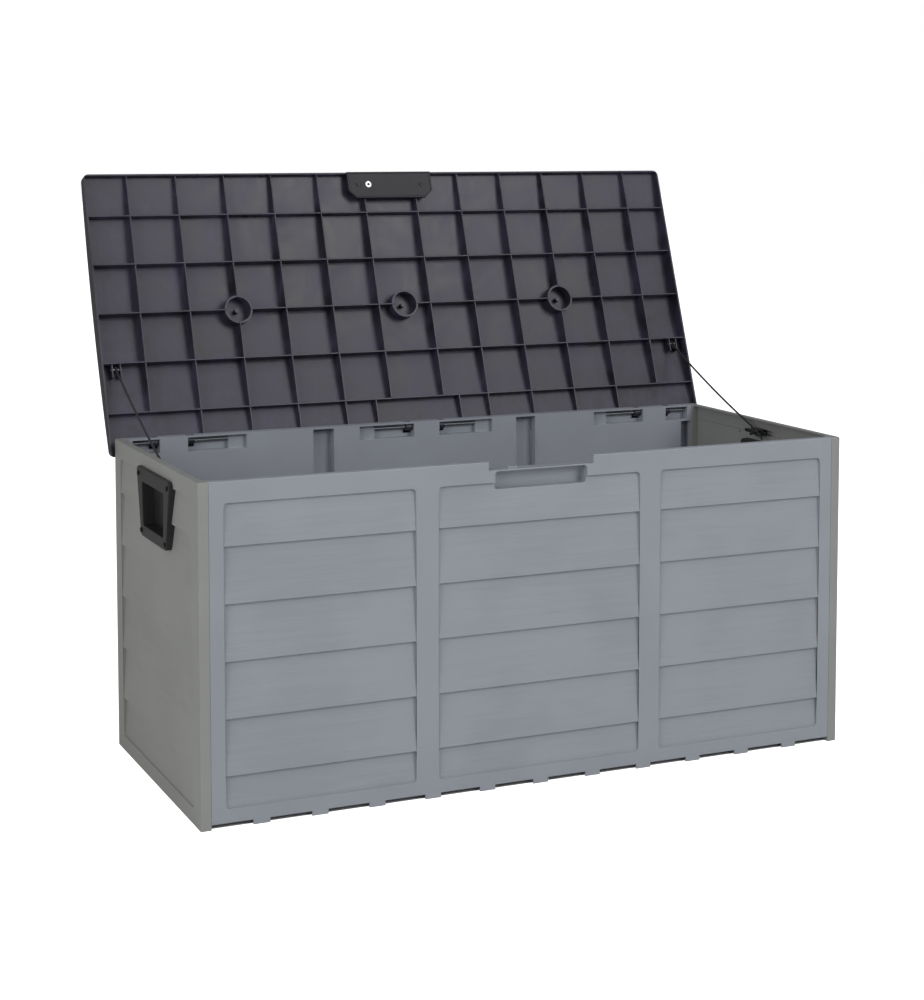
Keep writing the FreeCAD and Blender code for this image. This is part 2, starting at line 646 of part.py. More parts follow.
def lid_panel():
    """One moulding: shell, ribs, ring bosses, screw bosses, hinge arms and cord brackets."""
    top = SKIRT_BOTTOM + CROWN_MIDDLE
    screw_y = LID_FRONT + LATCH_SCREW_Y
    core = lid_core()
    rings = []
    wells = []
    additions = []
    for x in (-RIB_X[BOSS_RIB], 0.0, RIB_X[BOSS_RIB]):
        rings.append(upright(x, RIB_Y[2], BOSS_RADIUS, RIB_BOTTOM + 2 * RIB_STEP, top))
        wells.append(upright(x, RIB_Y[2], BOSS_BORE, RIB_BOTTOM - 1, top))
        additions.append(upright(x, RIB_Y[2], BOSS_PIP, RIB_BOTTOM + BOSS_PIP_RISE, top))
    ribs = join(lid_ribs() + rings).cut(wells)
    bores = []
    for side in (-1, 1):
        additions.append(upright(side * LATCH_SCREW_X, screw_y, SCREW_BOSS_RADIUS, LATCH_SEAT, top))
        bores.append(upright(side * LATCH_SCREW_X, screw_y, SCREW_RADIUS, LATCH_SEAT - 1,
                             LATCH_FACE + SCREW_LENGTH))
    bores.append(upright(LATCH_HOLE_X, screw_y, LATCH_HOLE_RADIUS, 0, top))
    for centre in HINGE_CENTRES.values():
        for side in (-1, 1):
            low = centre + side * ARM_OFFSET - ARM_WIDTH / 2
            additions.append(Part.makeCylinder(KNUCKLE_RADIUS, ARM_WIDTH, V(low, AXIS_Y, AXIS_Z), X_AXIS))
            web = (AXIS_Y - ARM_WEB / 2, AXIS_Y + ARM_WEB / 2)
            additions.append(block(low, low + ARM_WIDTH, *web, AXIS_Z, top))
        bores.append(Part.makeCylinder(PIN_RADIUS + RUNNING_FIT, 2 * KNUCKLE_WIDTH,
                                       V(centre - KNUCKLE_WIDTH, AXIS_Y, AXIS_Z), X_AXIS))
    anchor = anchor_point()
    for side in (-1, 1):
        for edge in (-1, 1):
            centre = side * ANCHOR_X + edge * ANCHOR_RIB_GAP / 2
            additions.append(block(centre - RIB / 2, centre + RIB / 2, RIB_Y[3],
                                   RIB_Y[3] + ANCHOR_RIB_LENGTH, anchor.z - 2 * ANCHOR_PIN_RADIUS, top))
        bores.append(Part.makeCylinder(ANCHOR_PIN_RADIUS + SEAT_FIT, 2 * ANCHOR_RIB_GAP,
                                       V(side * ANCHOR_X - ANCHOR_RIB_GAP, anchor.y, anchor.z), X_AXIS))
    inside = ribs.multiFuse(additions).common(core)
    return swing_open(lid_shell().fuse(inside).cut(bores).removeSplitter())


def hinge_pin(centre):
    """Steel rod through a knuckle of the back panel and across the pockets beside it."""
    low, high = pin_span(centre)
    return Part.makeCylinder(PIN_RADIUS, high - low, V(low, AXIS_Y, AXIS_Z), X_AXIS)


def latch_plate():
    """Shallow tray that covers the screw bosses and drops into the front notch."""
    half = LATCH_HALF
    front = LID_FRONT
    rear = front + LATCH_LENGTH
    cut = LATCH_CORNER

    def outline(inset, z):
        return [
            V(-half + inset, front + inset, z),
            V(half - inset, front + inset, z),
            V(half - inset, rear - cut, z),
            V(half - cut, rear - inset, z),
            V(-half + cut, rear - inset, z),
            V(-half + inset, rear - cut, z),
        ]

    tray = prism(outline(0, LATCH_BOTTOM), V(0, 0, RIB_BOTTOM - LATCH_BOTTOM))
    tray = tray.cut(prism(outline(LATCH_RIM, LATCH_SEAT), V(0, 0, RIB_BOTTOM)))
    tray = tray.cut(prism(outline(LATCH_RIM, LATCH_BOTTOM - 1), V(0, 0, LATCH_RECESS + 1)))
    skirt_room = block(-LID_HALF, LID_HALF, LID_FRONT - 1, LID_FRONT + SKIRT_WALL,
                       SKIRT_BOTTOM, RIB_BOTTOM + 1)
    screw_y = LID_FRONT + LATCH_SCREW_Y
    holes = [skirt_room, upright(LATCH_HOLE_X, screw_y, LATCH_HOLE_RADIUS, 0, RIB_BOTTOM)]
    for side in (-1, 1):
        holes.append(upright(side * LATCH_SCREW_X, screw_y, SCREW_RADIUS + FIT, 0, RIB_BOTTOM))
    return swing_open(tray.cut(holes).removeSplitter())


def latch_screws():
    screws = []
    for side in (-1, 1):
        point = V(side * LATCH_SCREW_X, LID_FRONT + LATCH_SCREW_Y, LATCH_FACE)
        screws.append(swing_open(screw(point, Z_AXIS)))
    return Part.makeCompound(screws)


def latch_bush():
    """Flanged bush that lines the padlock hole."""
    screw_y = LID_FRONT + LATCH_SCREW_Y
    flange = upright(LATCH_HOLE_X, screw_y, BUSH_FLANGE_RADIUS, LATCH_FACE - BUSH_FLANGE, LATCH_FACE)
    sleeve = upright(LATCH_HOLE_X, screw_y, LATCH_HOLE_RADIUS - SEAT_FIT,
                     LATCH_FACE - BUSH_FLANGE, LATCH_SEAT)
    bore = upright(LATCH_HOLE_X, screw_y, BUSH_BORE, 0, LATCH_SEAT + 1)
    return swing_open(flange.fuse(sleeve).cut(bore).removeSplitter())


def anchor_pin(side):
    """Short pin across a pair of small lid ribs; the stay cord is tied round it."""
    anchor = anchor_point()
    half = ANCHOR_RIB_GAP / 2 + RIB
    start = V(side * ANCHOR_X - half, anchor.y, anchor.z)
    return swing_open(Part.makeCylinder(ANCHOR_PIN_RADIUS, 2 * half, start, X_AXIS))


# ---- stay cords and the cleats that hold them ----

def cleat_bar_centre(side):
    stand = HALF_W - WALL - CLEAT_BASE[2] - CLEAT_STAND - CLEAT_BAR[2] / 2
    return V(side * stand, CLEAT_Y, BOX_HEIGHT - CLEAT_BELOW_RIM)


def cord_cleat(side):
    """T-shaped cleat screwed to the inner face of an end panel, under the rim."""
    length, height, thick = CLEAT_BASE
    bar_length, bar_height, bar_thick = CLEAT_BAR
    wall = HALF_W - WALL
    z = BOX_HEIGHT - CLEAT_BELOW_RIM
    base = block(wall - thick, wall, CLEAT_Y - length / 2, CLEAT_Y + length / 2,
                 z - height / 2, z + height / 2)
    post = Part.makeCylinder(CLEAT_POST, CLEAT_STAND + bar_thick, V(wall - thick, CLEAT_Y, z), V(-1, 0, 0))
    face = wall - thick - CLEAT_STAND
    bar = block(face - bar_thick, face, CLEAT_Y - bar_length / 2, CLEAT_Y + bar_length / 2,
                z - bar_height / 2, z + bar_height / 2)
    cleat = join([base, post, bar])
    if side < 0:
        cleat = cleat.mirror(V(0, 0, 0), X_AXIS)
    return cleat


def stay_cord(side):
    """Straight taut run from the cleat's bar to the pin on the lid."""
    start = cleat_bar_centre(side)
    pin = swing_open(Part.Vertex(anchor_point())).Point
    run = V(side * ANCHOR_X, pin.y, pin.z) - start
    length = run.Length - ANCHOR_PIN_RADIUS - CORD_GAP
    cord = Part.makeCylinder(CORD_RADIUS, length, start, run.normalize())
    return cord.cut(cord_cleat(side))


def build():
    nodes = {
        "front_panel": front_panel(),
        "back_panel": back_panel(),
        "floor_panel": floor_panel(),
        "lid_panel": lid_panel(),
        "latch_plate": latch_plate(),
        "latch_screws": latch_screws(),
        "latch_bush": latch_bush(),
    }
    for name, side in (("left", -1), ("right", 1)):
        nodes[name + "_end_panel"] = end_panel(side)
        nodes[name + "_handle"] = handle(side)
        nodes[name + "_handle_screws"] = handle_screws(side)
        nodes[name + "_cord_cleat"] = cord_cleat(side)
        nodes[name + "_cord_pin"] = anchor_pin(side)
        nodes[name + "_stay_cord"] = stay_cord(side)
    for name, centre in HINGE_CENTRES.items():
        nodes[name + "_hinge_pin"] = hinge_pin(centre)
    return nodes


os.makedirs("parts", exist_ok=True)
for node, shape in build().items():
    shape.exportStep(os.path.join("parts", node + ".step"))
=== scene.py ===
"""Finished look of a plastic deck storage box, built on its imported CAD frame."""

import json
import math

import bmesh
import bpy
from mathutils import Matrix, Vector

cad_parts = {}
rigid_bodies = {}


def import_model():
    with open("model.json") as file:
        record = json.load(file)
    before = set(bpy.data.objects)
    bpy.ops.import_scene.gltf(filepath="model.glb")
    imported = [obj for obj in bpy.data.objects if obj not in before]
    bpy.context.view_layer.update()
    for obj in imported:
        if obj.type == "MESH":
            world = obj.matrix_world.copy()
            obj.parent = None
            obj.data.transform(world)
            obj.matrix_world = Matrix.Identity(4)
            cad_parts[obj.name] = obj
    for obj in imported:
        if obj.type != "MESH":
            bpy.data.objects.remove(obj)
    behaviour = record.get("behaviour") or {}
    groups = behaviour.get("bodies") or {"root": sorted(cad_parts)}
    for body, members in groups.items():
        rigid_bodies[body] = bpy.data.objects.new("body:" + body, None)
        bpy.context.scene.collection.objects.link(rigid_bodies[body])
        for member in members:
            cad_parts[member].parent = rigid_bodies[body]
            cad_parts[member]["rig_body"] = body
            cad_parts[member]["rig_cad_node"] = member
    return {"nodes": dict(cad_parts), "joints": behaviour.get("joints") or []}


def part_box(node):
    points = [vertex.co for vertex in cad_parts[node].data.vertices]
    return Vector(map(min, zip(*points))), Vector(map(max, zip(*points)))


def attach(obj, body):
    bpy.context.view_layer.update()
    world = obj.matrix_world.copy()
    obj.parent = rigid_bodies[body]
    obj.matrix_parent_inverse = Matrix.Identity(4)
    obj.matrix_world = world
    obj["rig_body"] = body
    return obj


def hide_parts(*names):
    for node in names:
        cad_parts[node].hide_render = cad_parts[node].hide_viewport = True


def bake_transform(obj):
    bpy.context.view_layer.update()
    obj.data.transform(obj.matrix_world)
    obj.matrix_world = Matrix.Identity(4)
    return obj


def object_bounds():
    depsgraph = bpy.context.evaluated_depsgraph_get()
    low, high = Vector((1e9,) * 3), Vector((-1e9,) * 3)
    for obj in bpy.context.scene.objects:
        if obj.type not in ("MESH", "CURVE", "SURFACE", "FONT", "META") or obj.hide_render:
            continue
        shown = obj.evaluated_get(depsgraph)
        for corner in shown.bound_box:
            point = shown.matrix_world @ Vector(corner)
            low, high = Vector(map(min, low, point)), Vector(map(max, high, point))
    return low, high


bl_info = {
    "name": "Deck Storage Box",
    "version": (1, 0, 0),
    "blender": (4, 5, 0),
    "location": "View3D > Sidebar > Deck Box",
    "description": "Builds the finished look of a slatted plastic deck storage box on its CAD frame",
    "category": "Object",
}

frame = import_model()
CAD_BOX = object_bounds()
HINGE = frame["joints"][0]
PIVOT = Vector(HINGE["pos_m"])
SHUT_ANGLE = math.radians(HINGE["range_deg"][1])
SHUT = Matrix.Translation(PIVOT) @ Matrix.Rotation(SHUT_ANGLE, 4, "X") @ Matrix.Translation(-PIVOT)
OPEN = SHUT.inverted()
MM = 0.001

# metres
WALL_INSET = 0.009           # the walls stand this far inside the lid's sides and the box's front
RIM_LEVEL = 0.515            # just above the walls' rim, with the lid shut
CROWN_LEVEL = 0.52           # the lid's outer edges are above this, with the lid shut
CLEAT_BAR = 0.005            # thickness of a cleat's bar
MERGE = 0.000005             # vertices closer than this are one
CAMERA_PLACE = (-1.3672, -2.9964, 1.0027)

# degrees, and the camera's own units
CAMERA_AZIMUTH = -24.21
CAMERA_ELEVATION = 4.52
CAMERA_LENS = 72.3
CAMERA_SHIFT = (-0.0054, -0.2)


def hex_colour(code):
    """Linear RGB of an sRGB hex colour."""
    parts = [int(code[k:k + 2], 16) / 255 for k in (1, 3, 5)]
    return tuple(c / 12.92 if c <= 0.04045 else ((c + 0.055) / 1.055) ** 2.4 for c in parts)


# ---- sizes and colours ----

def size_mm(name, default, text):
    """A length that is typed in millimetres."""
    return bpy.props.FloatProperty(name=name, description=text, default=default, min=0.0, soft_max=100.0)


def colour(name, code, text):
    return bpy.props.FloatVectorProperty(name=name, description=text, subtype="COLOR", size=3,
                                         min=0.0, max=1.0, default=hex_colour(code))


class DECKBOX_PG_sizes(bpy.types.PropertyGroup):
    rim_radius: size_mm("Rim radius", 2.4, "Rounding of the walls' upper and corner edges, in millimetres")
    frame_radius: size_mm("Frame radius", 0.9, "Rounding of the frame edges round the boards, in millimetres")
    small_radius: size_mm("Small radius", 0.45, "Rounding that every other moulded edge has, in millimetres")
    lid_radius: size_mm("Lid edge radius", 0.9, "Rounding of the lid's outer edges, in millimetres")
    rib_radius: size_mm("Rib radius", 0.35, "Rounding of the lid's ribs, in millimetres")
    handle_radius: size_mm("Handle radius", 1.4, "Rounding of the handles' outer edges, in millimetres")
    grain_pitch: size_mm("Grain pitch", 4.6, "Distance between lines of the embossed wood grain, in millimetres")
    cord_sag: size_mm("Cord sag", 5.0, "How far the stay cords hang below a straight line, in millimetres")
    cord_width: size_mm("Cord width", 3.5, "Diameter of the stay cords, in millimetres")


class DECKBOX_PG_colours(bpy.types.PropertyGroup):
    wall: colour("Walls", "#989DA6", "Grey of the long walls")
    # The ends' grey is the walls' grey made darker and warmer, which paints shade on the end walls.
    end: colour("Ends", "#949694", "Darker, warmer grey of the end walls: painted shade")
    floor: colour("Box floor", "#7E848A", "Grey of the box's own floor")
    lid_dark: colour("Lid, dark", "#201F2A", "Darkest tone of the lid's flow marks")
    lid_light: colour("Lid, light", "#474559", "Lightest tone of the lid's flow marks")
    lid_outer: colour("Lid, outside", "#2C2C30", "Grained outer face of the lid")
    handle: colour("Handles", "#232225", "Carrying handles")
    latch: colour("Latch plate", "#222229", "Latch plate under the lid's front edge")
    cleat: colour("Cleats", "#101012", "Moulded cord cleats")
    cord: colour("Cords", "#161617", "Braided stay cords")
    pin: colour("Pins", "#8E9195", "Hinge pins and cord pins")
    screw: colour("Screws", "#3A3A3E", "Blackened screws")
    bush: colour("Bush", "#E2E2E4", "Nickel-plated bush in the latch plate")
    stage: colour("Stage", "#F4F4F3", "Studio floor")


def sizes():
    return bpy.context.scene.deckbox_sizes


def colours():
    return bpy.context.scene.deckbox_colours


# ---- materials ----

def add_node(tree, kind, settings=None, links=None):
    """Adds a node, sets its properties and sockets, and links sockets to it."""
    node = tree.nodes.new(kind)
    for key, value in (settings or {}).items():
        if isinstance(key, str) and hasattr(node, key):
            setattr(node, key, value)
        else:
            node.inputs[key].default_value = value
    for key, source in (links or {}).items():
        tree.links.new(source, node.inputs[key])
    return node


def new_material(name, colour_rgb, settings):
    """A material with one Principled shader, and its tree and shader node."""
    material = bpy.data.materials.new(name)
    material.use_nodes = True
    tree = material.node_tree
    shader = tree.nodes["Principled BSDF"]
    shader.inputs["Base Color"].default_value = (*colour_rgb, 1.0)
    for key, value in settings.items():
        shader.inputs[key].default_value = value
    return material, tree, shader


def ramp(tree, factor, stops):
    """Colour ramp from (position, linear RGB) pairs."""
    node = add_node(tree, "ShaderNodeValToRGB", links={"Fac": factor})
    elements = node.color_ramp.elements
    while len(elements) < len(stops):
        elements.new(0.5)
    for element, (place, rgb) in zip(elements, stops):
        element.position = place
        element.color = (*rgb, 1.0)
    return node.outputs["Color"]


def shade(rgb, factor):
    return tuple(min(1.0, c * factor) for c in rgb)


def polypropylene(name, rgb, spread=0.05):
    """Moulded polypropylene, satin. A fine spark-eroded texture breaks up its highlights, and the
    pigment is a little uneven over hand-sized areas."""
    material, tree, shader = new_material(name, rgb, {"Roughness": 0.48, "IOR": 1.49})
    place = add_node(tree, "ShaderNodeTexCoord").outputs["Object"]
    cloud = add_node(tree, "ShaderNodeTexNoise", {"Scale": 7.0, "Detail": 3.0}, {"Vector": place})
    tone = ramp(tree, cloud.outputs["Fac"], [(0.3, shade(rgb, 1 - spread)), (0.7, shade(rgb, 1 + spread))])
    tree.links.new(tone, shader.inputs["Base Color"])
    grit = add_node(tree, "ShaderNodeTexNoise", {"Scale": 900.0, "Detail": 2.0}, {"Vector": place})
    bump = add_node(tree, "ShaderNodeBump", {"Strength": 0.12, "Distance": 0.0002},
                    {"Height": grit.outputs["Fac"]})
    tree.links.new(bump.outputs["Normal"], shader.inputs["Normal"])
    rough = add_node(tree, "ShaderNodeMapRange", {"To Min": 0.42, "To Max": 0.56},
                     {"Value": cloud.outputs["Fac"]})
    tree.links.new(rough.outputs["Result"], shader.inputs["Roughness"])
    return material


def grained_polypropylene(name, rgb, along):
    """Blow-moulded polypropylene with wood grain embossed in the mould: shallow, broken lines that
    wander along the board and fade in and out. along is the axis the grain follows."""
    material, tree, shader = new_material(name, rgb, {"Roughness": 0.5, "IOR": 1.49})
    place = add_node(tree, "ShaderNodeTexCoord").outputs["Object"]
    stretch = (0.05, 1.0, 1.0) if along == "X" else (1.0, 0.05, 1.0)
    laid = add_node(tree, "ShaderNodeMapping", {"Scale": stretch}, {"Vector": place}).outputs["Vector"]
    lines_per_metre = 1.0 / (sizes().grain_pitch * MM)
    growth = add_node(tree, "ShaderNodeTexNoise",
                      {"Scale": lines_per_metre * 0.55, "Detail": 4.0, "Roughness": 0.62, "Distortion": 0.6},
                      {"Vector": laid})
    fibres = add_node(tree, "ShaderNodeTexNoise",
                      {"Scale": lines_per_metre * 1.7, "Detail": 2.0, "Roughness": 0.6, "Distortion": 0.2},
                      {"Vector": laid})
    cloud = add_node(tree, "ShaderNodeTexNoise", {"Scale": 7.0, "Detail": 2.0}, {"Vector": place})
    relief = add_node(tree, "ShaderNodeMath", {"operation": "MULTIPLY_ADD", 1: 0.5},
                      {0: fibres.outputs["Fac"], 2: growth.outputs["Fac"]})
    bump = add_node(tree, "ShaderNodeBump", {"Strength": 0.5, "Distance": 0.0006},
                    {"Height": relief.outputs["Value"]})
    tree.links.new(bump.outputs["Normal"], shader.inputs["Normal"])
    mixed = add_node(tree, "ShaderNodeMath", {"operation": "MULTIPLY_ADD", 1: 0.55},
                     {0: relief.outputs["Value"], 2: cloud.outputs["Fac"]})
    tone = ramp(tree, mixed.outputs["Value"], [(0.72, shade(rgb, 0.95)), (1.1, shade(rgb, 1.04))])
    tree.links.new(tone, shader.inputs["Base Color"])
    return material


def flow_marked_polypropylene(name, dark, light):
    """Injection-moulded dark polypropylene seen from its plain inner side: smooth and half glossy,
    with cloudy streaks where the melt cooled unevenly, in the lid's own flat directions."""
    material, tree, shader = new_material(name, dark, {"Roughness": 0.4, "IOR": 1.49})
    place = add_node(tree, "ShaderNodeTexCoord").outputs["Object"]
    flat = add_node(tree, "ShaderNodeMapping", {"Rotation": (SHUT_ANGLE, 0, 0)},
                    {"Vector": place}).outputs["Vector"]
    cloud = add_node(tree, "ShaderNodeTexNoise",
                     {"Scale": 9.0, "Detail": 5.0, "Roughness": 0.55, "Distortion": 1.6}, {"Vector": flat})
    drawn = add_node(tree, "ShaderNodeMapping", {"Scale": (3.0, 0.7, 1.0)},
                     {"Vector": flat}).outputs["Vector"]
    streak = add_node(tree, "ShaderNodeTexNoise",
                      {"Scale": 14.0, "Detail": 4.0, "Roughness": 0.6, "Distortion": 0.9}, {"Vector": drawn})
    both = add_node(tree, "ShaderNodeMath", {"operation": "MULTIPLY_ADD", 1: 0.45},
                    {0: streak.outputs["Fac"], 2: cloud.outputs["Fac"]})
    middle = tuple((a + b) / 2 for a, b in zip(dark, light))
    tone = ramp(tree, both.outputs["Value"], [(0.52, dark), (0.74, middle), (0.95, light)])
    tree.links.new(tone, shader.inputs["Base Color"])
    rough = add_node(tree, "ShaderNodeMapRange",
                     {"From Min": 0.45, "From Max": 1.0, "To Min": 0.3, "To Max": 0.5},
                     {"Value": both.outputs["Value"]})
    tree.links.new(rough.outputs["Result"], shader.inputs["Roughness"])
    soft = add_node(tree, "ShaderNodeTexNoise", {"Scale": 60.0, "Detail": 2.0}, {"Vector": flat})
    bump = add_node(tree, "ShaderNodeBump", {"Strength": 0.1, "Distance": 0.0006},
                    {"Height": soft.outputs["Fac"]})
    tree.links.new(bump.outputs["Normal"], shader.inputs["Normal"])
    return material


def leather_grained_polypropylene(name, rgb, roughness):
    """Dark moulded plastic with a leather-like pebble grain about a millimetre across, which keeps
    its highlights broad and soft."""
    material, tree, shader = new_material(name, rgb, {"Roughness": roughness, "IOR": 1.49})
    place = add_node(tree, "ShaderNodeTexCoord").outputs["Object"]
    pebble = add_node(tree, "ShaderNodeTexVoronoi",
                      {"feature": "SMOOTH_F1", "Scale": 750.0, "Smoothness": 0.7}, {"Vector": place})
    bump = add_node(tree, "ShaderNodeBump", {"Strength": 0.35, "Distance": 0.0002},
                    {"Height": pebble.outputs["Distance"]})
    tree.links.new(bump.outputs["Normal"], shader.inputs["Normal"])
    wear = add_node(tree, "ShaderNodeTexNoise", {"Scale": 22.0, "Detail": 4.0}, {"Vector": place})
    tone = ramp(tree, wear.outputs["Fac"], [(0.3, shade(rgb, 0.9)), (0.75, shade(rgb, 1.15))])
    tree.links.new(tone, shader.inputs["Base Color"])
    return material


def drawn_steel(name, rgb, roughness):
    """Drawn or pressed steel under plating or blacking: fine lines along the length and a slightly
    cloudy coating."""
    material, tree, shader = new_material(name, rgb, {"Metallic": 1.0, "Roughness": roughness})
    place = add_node(tree, "ShaderNodeTexCoord").outputs["Object"]
    laid = add_node(tree, "ShaderNodeMapping", {"Scale": (0.03, 1.0, 1.0)},
                    {"Vector": place}).outputs["Vector"]
    lines = add_node(tree, "ShaderNodeTexNoise", {"Scale": 2500.0, "Detail": 2.0}, {"Vector": laid})
    bump = add_node(tree, "ShaderNodeBump", {"Strength": 0.15, "Distance": 0.0001},
                    {"Height": lines.outputs["Fac"]})
    tree.links.new(bump.outputs["Normal"], shader.inputs["Normal"])
    cloud = add_node(tree, "ShaderNodeTexNoise", {"Scale": 180.0, "Detail": 3.0}, {"Vector": place})
    rough = add_node(tree, "ShaderNodeMapRange", {"To Min": roughness - 0.08, "To Max": roughness + 0.12},
                     {"Value": cloud.outputs["Fac"]})
    tree.links.new(rough.outputs["Result"], shader.inputs["Roughness"])
    return material


def braided_polyester(name, rgb):
    """Braided polyester cord: two sets of crossing strands about a millimetre wide, slightly fuzzy. Its colour
    has painted shade in the grooves between strands and painted highlights on their crowns.
    """
    material, tree, shader = new_material(name, rgb, {"Roughness": 0.82, "Sheen Weight": 0.12,
                                                      "Sheen Roughness": 0.5})
    place = add_node(tree, "ShaderNodeTexCoord").outputs["Object"]
    heights = []
    for turn in (0.7, -0.7):
        laid = add_node(tree, "ShaderNodeMapping", {"Rotation": (turn, 0, 0)}, {"Vector": place})
        strand = add_node(tree, "ShaderNodeTexWave",
                          {"wave_type": "BANDS", "bands_direction": "Y", "Scale": 0.314 / 0.0014},
                          {"Vector": laid.outputs["Vector"]})
        heights.append(strand.outputs["Fac"])
    braid_height_and_painted_shade = add_node(tree, "ShaderNodeMath", {"operation": "MAXIMUM"}, {0: heights[0], 1: heights[1]})
    bump = add_node(tree, "ShaderNodeBump", {"Strength": 0.6, "Distance": 0.0003},
                    {"Height": braid_height_and_painted_shade.outputs["Value"]})
    tree.links.new(bump.outputs["Normal"], shader.inputs["Normal"])
    # Colour from the braid's height: painted shade in the grooves, painted highlights on the crowns.
    tone = ramp(tree, braid_height_and_painted_shade.outputs["Value"], [(0.3, shade(rgb, 0.6)), (1.0, shade(rgb, 1.3))])
    tree.links.new(tone, shader.inputs["Base Color"])
    return material


def painted_stage(name, rgb):
    """Matte white studio floor. It glows to the camera only, so it shows as pale as the air behind it
    and takes no visible shadow, while it throws only its own painted tone back on the box. The glow stops
    in the box's outline underneath it, a painted shadow shape inside which the floor's real shade shows."""
    material, tree, shader = new_material(name, rgb, {"Roughness": 0.9, "Specular IOR Level": 0.0})
    shader.inputs["Emission Color"].default_value = (1.0, 1.0, 1.0, 1.0)
    place = add_node(tree, "ShaderNodeTexCoord").outputs["Object"]
    mottle = add_node(tree, "ShaderNodeTexNoise", {"Scale": 3.0, "Detail": 3.0}, {"Vector": place})
    tone = ramp(tree, mottle.outputs["Fac"], [(0.3, shade(rgb, 0.99)), (0.7, rgb)])
    tree.links.new(tone, shader.inputs["Base Color"])
    seen = add_node(tree, "ShaderNodeLightPath").outputs["Is Camera Ray"]
    # Mask for the painted shadow: no glow within the box's outline, so only there the floor shows its shade.
    spot = add_node(tree, "ShaderNodeSeparateXYZ", links={0: place})
    outside = []
    for axis, half in (("X", CAD_BOX[1].x - WALL_INSET), ("Y", abs(CAD_BOX[0].y) - WALL_INSET)):
        far = add_node(tree, "ShaderNodeMath", {"operation": "ABSOLUTE"}, {0: spot.outputs[axis]})
        outside.append(add_node(tree, "ShaderNodeMath", {"operation": "GREATER_THAN", 1: half},
                                {0: far.outputs["Value"]}).outputs["Value"])
    clear = add_node(tree, "ShaderNodeMath", {"operation": "MAXIMUM"}, {0: outside[0], 1: outside[1]})
    glow_outside_painted_shadow = add_node(tree, "ShaderNodeMath", {"operation": "MULTIPLY"}, {0: seen, 1: clear.outputs["Value"]})
    glow = add_node(tree, "ShaderNodeMapRange", {"To Min": 0.0, "To Max": 1.1},
                    {"Value": glow_outside_painted_shadow.outputs["Value"]})
    tree.links.new(glow.outputs["Result"], shader.inputs["Emission Strength"])
    return material


def studio_air(name, strength, mirrored):
    """White air that fills the room softly. Seen directly it is plain white, and mirrored is its
    brightness in glossy reflections, where the room's pale walls show."""
    world = bpy.data.worlds.new(name)
    world.use_nodes = True
    tree = world.node_tree
    ray = add_node(tree, "ShaderNodeLightPath").outputs
    gloss = add_node(tree, "ShaderNodeMapRange", {"To Min": strength, "To Max": mirrored},
                     {"Value": ray["Is Glossy Ray"]})
    level = add_node(tree, "ShaderNodeMath", {"operation": "MAXIMUM"},
                     {0: gloss.outputs["Result"], 1: ray["Is Camera Ray"]})
    air = tree.nodes["Background"]
    air.inputs["Color"].default_value = (1.0, 1.0, 1.0, 1.0)
    tree.links.new(level.outputs["Value"], air.inputs["Strength"])
    return world


# ---- modelling helpers ----

def select_only(*objects):
    bpy.ops.object.select_all(action="DESELECT")
    for item in objects:
        item.select_set(True)
    bpy.context.view_layer.objects.active = objects[0]


def cad_copy(node, name, convex=False):
    """A copy of a CAD node with its triangles merged into whole faces, which convex then splits
    wherever they bend back on themselves."""
    select_only(frame["nodes"][node])
    bpy.ops.object.duplicate()
    piece = bpy.context.view_layer.objects.active
    piece.name = name
    piece.data.name = name
    piece.parent = None
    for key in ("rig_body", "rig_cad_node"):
        del piece[key]
    piece.data.materials.clear()
    select_only(piece)
    bpy.ops.mesh.customdata_custom_splitnormals_clear()
    bpy.ops.object.mode_set(mode="EDIT")
    bpy.ops.mesh.select_all(action="SELECT")
    bpy.ops.mesh.remove_doubles(threshold=MERGE)
    bpy.ops.mesh.dissolve_limited(angle_limit=math.radians(0.4))
    if convex:
        bpy.ops.mesh.select_all(action="SELECT")
        bpy.ops.mesh.vert_connect_concave()
    bpy.ops.object.mode_set(mode="OBJECT")
    return piece


def round_edges(piece, radius_at, largest, segments=2, least_angle=32.0):
    """Rounds every sharp edge of a piece. radius_at gives an edge's radius from its middle point, its
    direction and whether it stands out; largest is the greatest radius it can give."""
    mesh = bmesh.new()
    mesh.from_mesh(piece.data)
    weights = mesh.edges.layers.float.new("bevel_weight_edge")
    least = math.radians(least_angle)
    for edge in mesh.edges:
        if len(edge.link_faces) != 2:
            continue
        angle = edge.calc_face_angle_signed(0.0)
        if abs(angle) < least:
            continue
        start, end = (v.co for v in edge.verts)
        radius = radius_at((start + end) / 2, (end - start).normalized(), angle > 0)
        edge[weights] = min(1.0, radius / largest)
    mesh.to_mesh(piece.data)
    mesh.free()
    select_only(piece)
    bevel = piece.modifiers.new("rounding", "BEVEL")
    bevel.width = largest * MM
    bevel.segments = segments
    bevel.limit_method = "WEIGHT"
    bevel.use_clamp_overlap = False
    bpy.ops.object.modifier_apply(modifier=bevel.name)
    smooth(piece)


def smooth(piece, angle=38.0):
    """Smooth shading up to an angle, with large faces kept flat."""
    select_only(piece)
    bpy.ops.object.shade_smooth_by_angle(angle=math.radians(angle))
    weighted = piece.modifiers.new("flat faces", "WEIGHTED_NORMAL")
    weighted.keep_sharp = True
    bpy.ops.object.modifier_apply(modifier=weighted.name)


def dress(piece, body, materials, pick=None):
    """Gives a piece its materials and its body. pick tells which faces take the second material."""
    for material in materials:
        piece.data.materials.append(material)
    for face in piece.data.polygons:
        face.material_index = int(bool(pick and pick(face.center, face.normal)))
    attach(piece, body)
    return piece


def near(a, b, reach=0.0006):
    return abs(a - b) < reach


# ---- pieces ----

